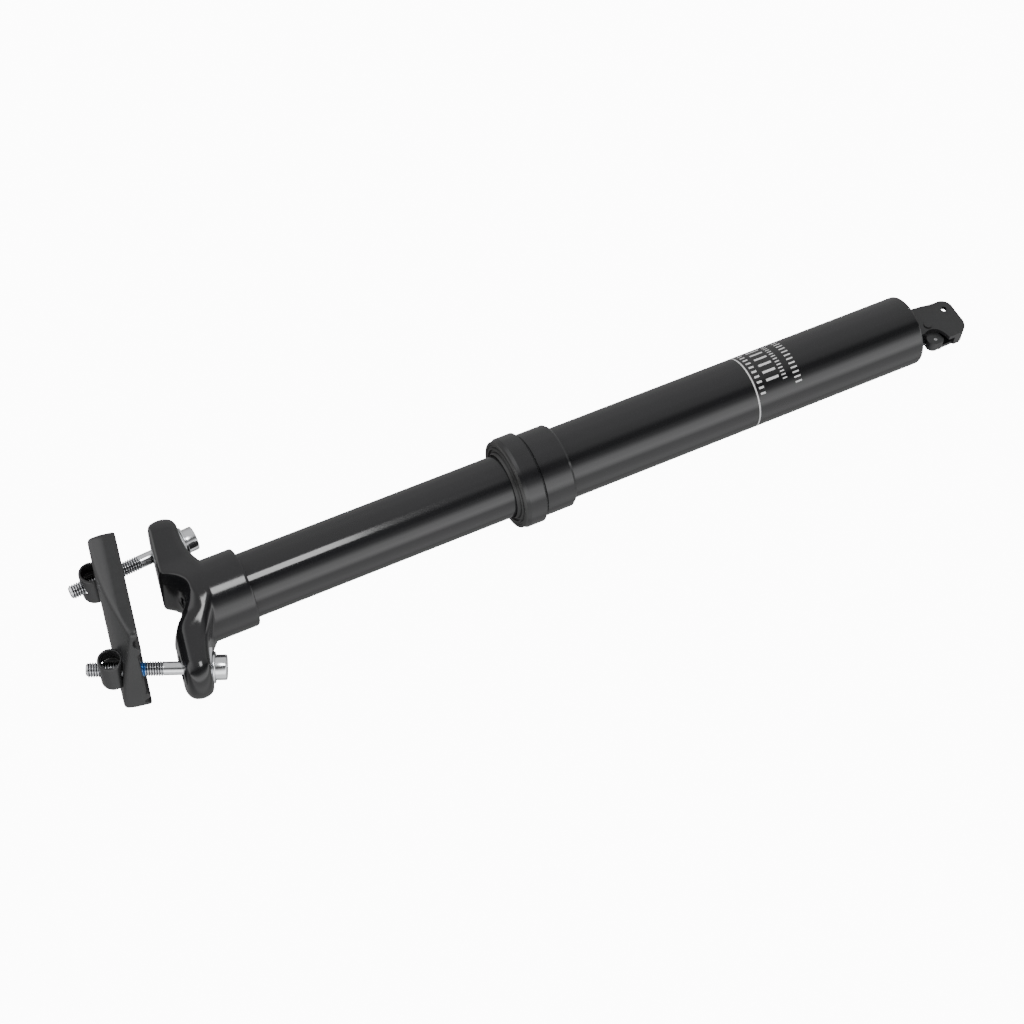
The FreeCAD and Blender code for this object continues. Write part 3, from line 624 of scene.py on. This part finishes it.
def bolt_rings():
    """Rings of (radius, height) over the angle, from the socket's floor to the tip."""
    angle = np.arange(SEGMENTS) * 2 * math.pi / SEGMENTS
    flat = np.mod(angle, math.pi / 3) - math.pi / 6
    hexagon = KEY_HALF / np.cos(flat)
    even = np.ones(SEGMENTS)
    foot = -BOLT_HEAD_H
    rings = [(CENTRE_R * even, foot + KEY_DEPTH), (hexagon, foot + KEY_DEPTH), (hexagon, foot + KEY_BEVEL),
             (hexagon + KEY_BEVEL, foot), ((BOLT_HEAD_R - 0.45) * even, foot),
             ((BOLT_HEAD_R - 0.15) * even, foot + 0.12), (BOLT_HEAD_R * even, foot + 0.45),
             (BOLT_HEAD_R * even, -FLANGE_H - 0.35), (BOLT_HEAD_R * even, -FLANGE_H - 0.2),
             ((FLANGE_R - 0.15) * even, -FLANGE_H), (FLANGE_R * even, 0.25 - FLANGE_H),
             (FLANGE_R * even, -0.25), ((FLANGE_R - 0.15) * even, -0.06), (BOLT_SHANK_R * even, -0.05)]
    rings += [(BOLT_SHANK_R * even, height) for height in (4.0, 10.0, 17.0, THREAD_FROM - 0.1)]
    for height in np.arange(THREAD_FROM, BOLT_LENGTH, RING_STEP):
        rings.append((thread_radius(height, angle), height))
    rings.append((thread_radius(BOLT_LENGTH, angle), BOLT_LENGTH))
    rings.append((CENTRE_R * even, BOLT_LENGTH))
    return angle, rings


def make_bolt(name, side):
    """Socket-head bolt with a flange and a real helical thread."""
    angle, rings = bolt_rings()
    points = []
    crests = []
    for radius, height in rings:
        depth = np.clip((radius - THREAD_ROOT) / (BOLT_R - THREAD_ROOT), 0.0, 1.0)
        threaded = THREAD_FROM < height < BOLT_LENGTH - END_BEVEL
        crests.append(depth if threaded else np.ones(SEGMENTS))
        a = radius * np.cos(angle)
        b = radius * np.sin(angle)
        u = PIVOT[0] + a * math.cos(SPLAY) - height * math.sin(SPLAY)
        w = PIVOT[1] + a * math.sin(SPLAY) + height * math.cos(SPLAY)
        points.append(np.stack([u * side, b, w], axis=1))
    points = in_row(np.concatenate(points))
    faces = []
    for i in range(len(rings) - 1):
        for j in range(SEGMENTS):
            k = (j + 1) % SEGMENTS
            quad = (i * SEGMENTS + j, i * SEGMENTS + k, (i + 1) * SEGMENTS + k, (i + 1) * SEGMENTS + j)
            faces.append(quad if side > 0 else quad[::-1])
    piece = mesh_object(name, points, faces)
    # crest: 1 on the thread's crests and 0 in its roots, read by the material to paint shade into the roots
    crest = piece.data.attributes.new("crest", "FLOAT", "POINT")
    crest.data.foreach_set("value", np.concatenate(crests))
    piece.data.set_sharp_from_angle(angle=math.radians(SHARP_DEGREES))
    return piece


COARSE = 0.5                   # grid steps
FINE = 0.2
HEAD_GRID = ((-43.0, -17.6, -43.0), (43.0, 17.6, -2.0))
PLATE_GRID = ((-28.6, -29.6, 7.6), (28.6, 29.6, 21.6))
NUT_ROOM = 0.6                 # free grid round a nut


def make_clamp(materials):
    """Head, plate, nuts and bolts, each in place of its CAD node."""
    head = solid_from_field("head_forging", head_field, *HEAD_GRID, COARSE)
    finish(head, materials, "head_black", "inner_post", "head")
    plate = solid_from_field("plate_forging", plate_field, *PLATE_GRID, COARSE)
    finish(plate, materials, "plate_black", "clamp", "clamp_plate")
    reach = NUT_R + NUT_ROOM
    low = (NUT[0] - reach, -NUT_HALF - NUT_ROOM, NUT[1] - reach)
    high = (NUT[0] + reach, NUT_HALF + NUT_ROOM, NUT[1] + reach)
    for end, side in (("rear", 1), ("front", -1)):
        nut = solid_from_field("nut_" + end + "_turned", nut_field, low, high, FINE, side)
        finish(nut, materials, "nut_black", "nut_" + end, "barrel_nut_" + end)
        bolt = make_bolt("bolt_" + end + "_threaded", side)
        finish(bolt, materials, "bolt_steel", "bolt_" + end, "clamp_bolt_" + end)
        bolt.data.materials[0] = materials["bolt_thread_blue" if side > 0 else "bolt_thread"]


# ---- studio --------------------------------------------------------------------------
BACKDROP = 15.0                # brightness of the surroundings behind the object
SHEET = 0.945                  # brightness of the floor's glow against the surroundings
SHEET_GLOW = 0.85              # part of what the camera sees of the floor that is this glow
FLOOR_HALF = 30.0
FLOOR_GAP = 1.0 * MM
# What polished parts mirror: an even level with brighter upright strips, a patch high up and
# two shades that take light away. Each is (azimuth, half width, soft edge, strength).
MIRROR_LEVEL = 0.78
MIRROR_STRIPS = ((15.0, 9.0, 16.0, 2.5), (-22.0, 22.0, 22.0, 0.75), (128.0, 22.0, 25.0, 0.3))
OVERHEAD = (144.0, 40.0, 40.0, 1.5)
OVERHEAD_FROM = 0.3            # height on the unit sphere where the patch begins
OVERHEAD_STEEP = 4.0
WIDE_SHADE = (-120.0, 30.0, 35.0, 0.45)
NARROW_SHADE = (60.0, 6.0, 14.0, 0.9)


def make_floor():
    """Wide pale floor just under the foot of the post."""
    low = cad_box[0][2] - FLOOR_GAP
    mesh = bpy.data.meshes.new("floor")
    corners = [(x * FLOOR_HALF, y * FLOOR_HALF, low) for x, y in ((-1, -1), (1, -1), (1, 1), (-1, 1))]
    mesh.from_pydata(corners, [], [(0, 1, 2, 3)])
    floor = bpy.data.objects.new("floor", mesh)
    bpy.context.scene.collection.objects.link(floor)
    mesh.materials.append(floor_material())
    floor.visible_glossy = False


def floor_material():
    """Pale sheet that reads as white from the camera's side."""
    material = surface("floor", (0.88, 0.88, 0.88), 0.85, grain=3.0, grain_depth=0.0, tint=0.01)
    n = Nodes(material.node_tree, empty=False)
    out = next(node for node in n.tree.nodes if node.type == "OUTPUT_MATERIAL")
    shader = next(node for node in n.tree.nodes if node.type == "BSDF_PRINCIPLED")
    glow = n.add("ShaderNodeEmission")
    glow.inputs["Strength"].default_value = BACKDROP * SHEET
    rays = n.add("ShaderNodeLightPath")
    choose = n.add("ShaderNodeMixShader")
    n.join(n.math("MULTIPLY", rays.outputs["Is Camera Ray"], SHEET_GLOW), choose.inputs[0])
    n.join(shader.outputs[0], choose.inputs[1])
    n.join(glow.outputs[0], choose.inputs[2])
    n.join(choose.outputs[0], out.inputs["Surface"])
    return material


def strip(n, azimuth, centre, half_width, soft):
    """1 within half_width of the centre azimuth, falling to 0 over soft, in degrees."""
    turn = n.math("SUBTRACT", azimuth, math.radians(centre))
    wrapped = n.math("WRAP", turn, math.pi, -math.pi)
    off = n.math("ABSOLUTE", wrapped)
    edge = n.math("SUBTRACT", math.radians(half_width + soft), off)
    fall = n.math("DIVIDE", edge, math.radians(soft))
    return n.math("MINIMUM", n.math("MAXIMUM", fall, 0.0), 1.0)


def make_world():
    """Pale surroundings for the camera, a plain light on matt parts and strips in polished ones."""
    world = bpy.data.worlds.new("studio")
    bpy.context.scene.world = world
    world.use_nodes = True
    n = Nodes(world.node_tree)
    out = n.add("ShaderNodeOutputWorld")
    place = n.add("ShaderNodeTexCoord").outputs["Generated"]
    split = n.add("ShaderNodeSeparateXYZ")
    n.join(place, split.inputs[0])
    azimuth = n.math("ARCTAN2", split.outputs["Y"], split.outputs["X"])
    level = MIRROR_LEVEL
    for centre, half_width, soft, gain in MIRROR_STRIPS:
        level = n.math("MULTIPLY_ADD", strip(n, azimuth, centre, half_width, soft), gain, level)
    above = n.math("MULTIPLY", n.math("SUBTRACT", split.outputs["Z"], OVERHEAD_FROM), OVERHEAD_STEEP)
    above = n.math("MINIMUM", n.math("MAXIMUM", above, 0.0), 1.0)
    above = n.math("MULTIPLY", above, strip(n, azimuth, *OVERHEAD[:3]))
    level = n.math("MULTIPLY_ADD", above, OVERHEAD[3], level)
    wide = n.math("MULTIPLY", strip(n, azimuth, *WIDE_SHADE[:3]), WIDE_SHADE[3])
    narrow = n.math("MULTIPLY", strip(n, azimuth, *NARROW_SHADE[:3]), NARROW_SHADE[3])
    level = n.math("MULTIPLY", level, n.math("SUBTRACT", 1.0, n.math("MAXIMUM", wide, narrow)))
    mirrored = n.add("ShaderNodeBackground")
    n.join(level, mirrored.inputs["Strength"])
    plain = n.add("ShaderNodeBackground")
    plain.inputs["Strength"].default_value = 1.0
    backdrop = n.add("ShaderNodeBackground")
    backdrop.inputs["Strength"].default_value = BACKDROP
    rays = n.add("ShaderNodeLightPath")
    reflected = n.add("ShaderNodeMixShader")
    n.join(rays.outputs["Is Glossy Ray"], reflected.inputs[0])
    n.join(plain.outputs[0], reflected.inputs[1])
    n.join(mirrored.outputs[0], reflected.inputs[2])
    seen = n.add("ShaderNodeMixShader")
    n.join(rays.outputs["Is Camera Ray"], seen.inputs[0])
    n.join(reflected.outputs[0], seen.inputs[1])
    n.join(backdrop.outputs[0], seen.inputs[2])
    n.join(seen.outputs[0], out.inputs["Surface"])


def soft_lamp(name, place, target, width, height, energy, mirrored):
    """Rectangular lamp aimed at a target; polished parts may or may not mirror it."""
    light = bpy.data.lights.new(name, "AREA")
    light.shape = "RECTANGLE"
    light.size = width
    light.size_y = height
    light.energy = energy
    lamp = bpy.data.objects.new(name, light)
    bpy.context.scene.collection.objects.link(lamp)
    lamp.location = place
    lamp.rotation_euler = (Vector(target) - lamp.location).to_track_quat("-Z", "Y").to_euler()
    lamp.visible_glossy = mirrored


def make_lights():
    """One large soft lamp above the saddle end and a low card of light before the head."""
    soft_lamp("soft_lamp", (0.9, 0.3, 1.3), (0.0, 0.0, 0.2), 1.2, 1.2, 12.0, False)
    soft_lamp("low_card", (0.17, 0.98, 0.0), (0.0, 0.0, 0.15), 0.3, 0.22, 3.0, True)


make_camera()
make_floor()
make_world()
make_lights()
finishes = make_materials()
dress(finishes)
make_clamp(finishes)
